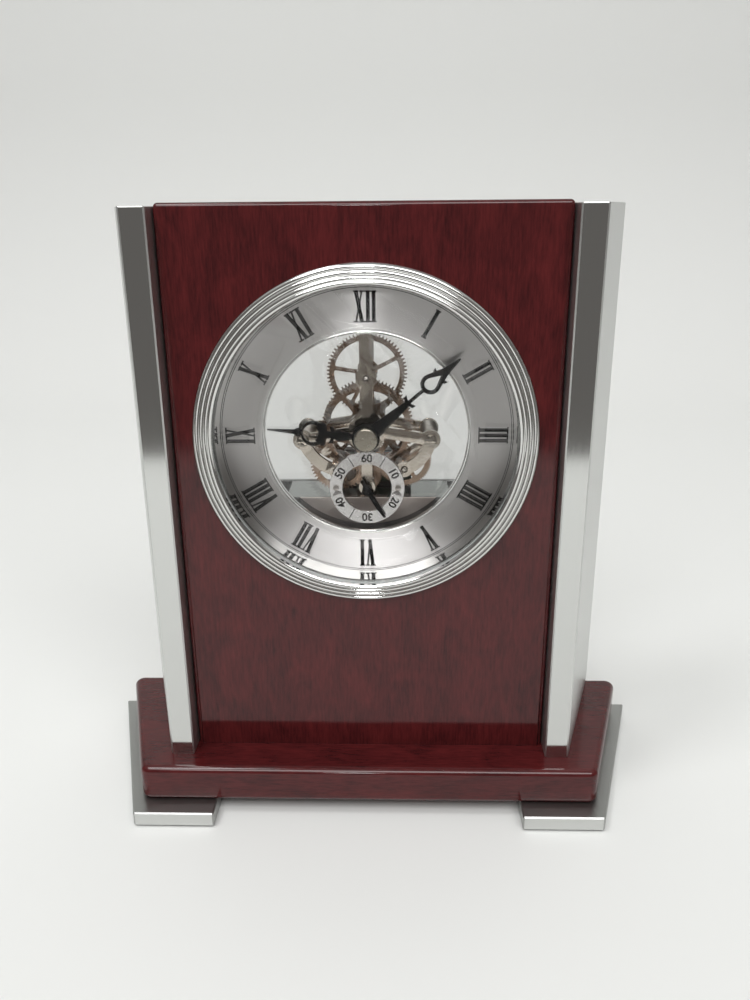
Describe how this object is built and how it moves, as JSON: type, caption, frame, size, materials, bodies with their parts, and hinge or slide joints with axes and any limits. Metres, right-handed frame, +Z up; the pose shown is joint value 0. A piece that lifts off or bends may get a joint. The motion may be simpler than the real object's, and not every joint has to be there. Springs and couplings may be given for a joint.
{
  "type": "mantel clock",
  "caption": "Mantel clock: round chromed insert with an open geared movement and a small seconds dial, in a gloss wood panel between flared metal columns on a footed plinth.",
  "frame": {"origin": "on the table under the middle of the stand", "axes": "+Z up; the dial faces -Y; +X to the viewer's right"},
  "size_m": [0.1804, 0.061, 0.1772],
  "materials": {
    "rosewood": "deep red-brown stain under gloss lacquer",
    "polished_aluminium": "polished",
    "satin_aluminium": "satin",
    "plain_aluminium": "as sawn",
    "rubber": "matte black",
    "pale_gasket": "pale vinyl",
    "screw_steel": "plated",
    "chrome": "polished",
    "crystal_glass": "clear",
    "clear_back": "clear",
    "reflector": "bright",
    "dial_silver": "spun silver with black printing",
    "black_plastic": "moulded black",
    "nickel_plate": "polished nickel",
    "wheel_brass": "dulled nickel over brass",
    "arbor_steel": "ground",
    "jewel": "polished",
    "black_hand": "black paint",
    "cell_wrap": "plain grey sleeve",
    "contact_steel": "plated spring",
    "coil_copper": "enamelled copper wire",
    "soft_iron": "plain",
    "board": "green laminate"
  },
  "bodies": {
    "case": {"base_plinth": "rosewood", "front_panel": "rosewood", "right_column": "polished_aluminium", "left_column": "polished_aluminium", "right_column_cap": "polished_aluminium", "left_column_cap": "polished_aluminium", "right_foot": "satin_aluminium", "left_foot": "satin_aluminium", "right_column_plug": "plain_aluminium", "left_column_plug": "plain_aluminium", "foot_pads": "rubber", "grip_band": "rubber", "crystal_gasket": "pale_gasket", "foot_screws": "screw_steel", "stand_screws": "screw_steel", "pillar_screws": "screw_steel", "bar_screw": "screw_steel", "subdial_screws": "screw_steel", "bezel": "chrome", "window_lip": "chrome", "crystal": "crystal_glass", "rear_lens": "clear_back", "reflector_ring": "reflector", "dial_ring": "dial_silver", "subdial_ring": "dial_silver", "case_tube": "black_plastic", "carrier_ring": "black_plastic", "rear_cover": "black_plastic", "motor_housing": "black_plastic", "front_bridge": "nickel_plate", "back_plate": "nickel_plate", "pillars": "nickel_plate", "spacers": "nickel_plate", "battery_box": "nickel_plate", "pivot_bushes": "jewel", "battery": "cell_wrap", "positive_contact": "contact_steel", "negative_contact": "contact_steel", "motor_coil": "coil_copper", "motor_stator": "soft_iron", "circuit_board": "board"},
    "minute_train": {"centre_arbor": "arbor_steel", "cannon_pinion": "wheel_brass", "centre_wheel": "wheel_brass", "minute_hand": "black_hand", "hand_nut": "chrome", "setting_knob": "black_plastic"},
    "hour_train": {"hour_wheel": "wheel_brass", "hour_hand": "black_hand"},
    "motion_train": {"minute_arbor": "arbor_steel", "minute_wheel": "wheel_brass"},
    "third_train": {"third_arbor": "arbor_steel", "third_wheel": "wheel_brass"},
    "seconds_train": {"seconds_arbor": "arbor_steel", "seconds_wheel": "wheel_brass", "second_hand": "black_hand"},
    "drive_train": {"drive_arbor": "arbor_steel", "drive_wheel": "wheel_brass"},
    "rotor": {"motor_rotor": "soft_iron"},
    "battery_lid": {"battery_cover": "black_plastic"}
  },
  "joints": [
    {"name": "minute_spin", "type": "hinge", "parent": "case", "child": "minute_train", "pos_m": [0, 0, 0.1145], "axis": [0, 1, 0], "continuous": true},
    {"name": "hour_spin", "type": "hinge", "parent": "case", "child": "hour_train", "pos_m": [0, 0, 0.1145], "axis": [0, 1, 0], "continuous": true},
    {"name": "motion_spin", "type": "hinge", "parent": "case", "child": "motion_train", "pos_m": [0, 0, 0.13036], "axis": [0, 1, 0], "continuous": true},
    {"name": "third_spin", "type": "hinge", "parent": "case", "child": "third_train", "pos_m": [-0.00868, 0, 0.10328], "axis": [0, 1, 0], "continuous": true},
    {"name": "seconds_spin", "type": "hinge", "parent": "case", "child": "seconds_train", "pos_m": [0, 0, 0.0984], "axis": [0, 1, 0], "continuous": true},
    {"name": "drive_spin", "type": "hinge", "parent": "case", "child": "drive_train", "pos_m": [0.01077, 0, 0.10377], "axis": [0, 1, 0], "continuous": true},
    {"name": "rotor_spin", "type": "hinge", "parent": "case", "child": "rotor", "pos_m": [-0.00343, 0, 0.0986], "axis": [0, 1, 0], "continuous": true},
    {"name": "battery_lid_pull", "type": "slide", "parent": "case", "child": "battery_lid", "axis": [0, 1, 0], "range_m": [0, 0.025]}
  ],
  "couplings": [
    {"joint": "hour_spin", "follows": "minute_spin", "ratio": 0.083333},
    {"joint": "motion_spin", "follows": "minute_spin", "ratio": -0.4},
    {"joint": "third_spin", "follows": "minute_spin", "ratio": -12},
    {"joint": "seconds_spin", "follows": "minute_spin", "ratio": 60},
    {"joint": "drive_spin", "follows": "minute_spin", "ratio": -29.167}
  ]
}
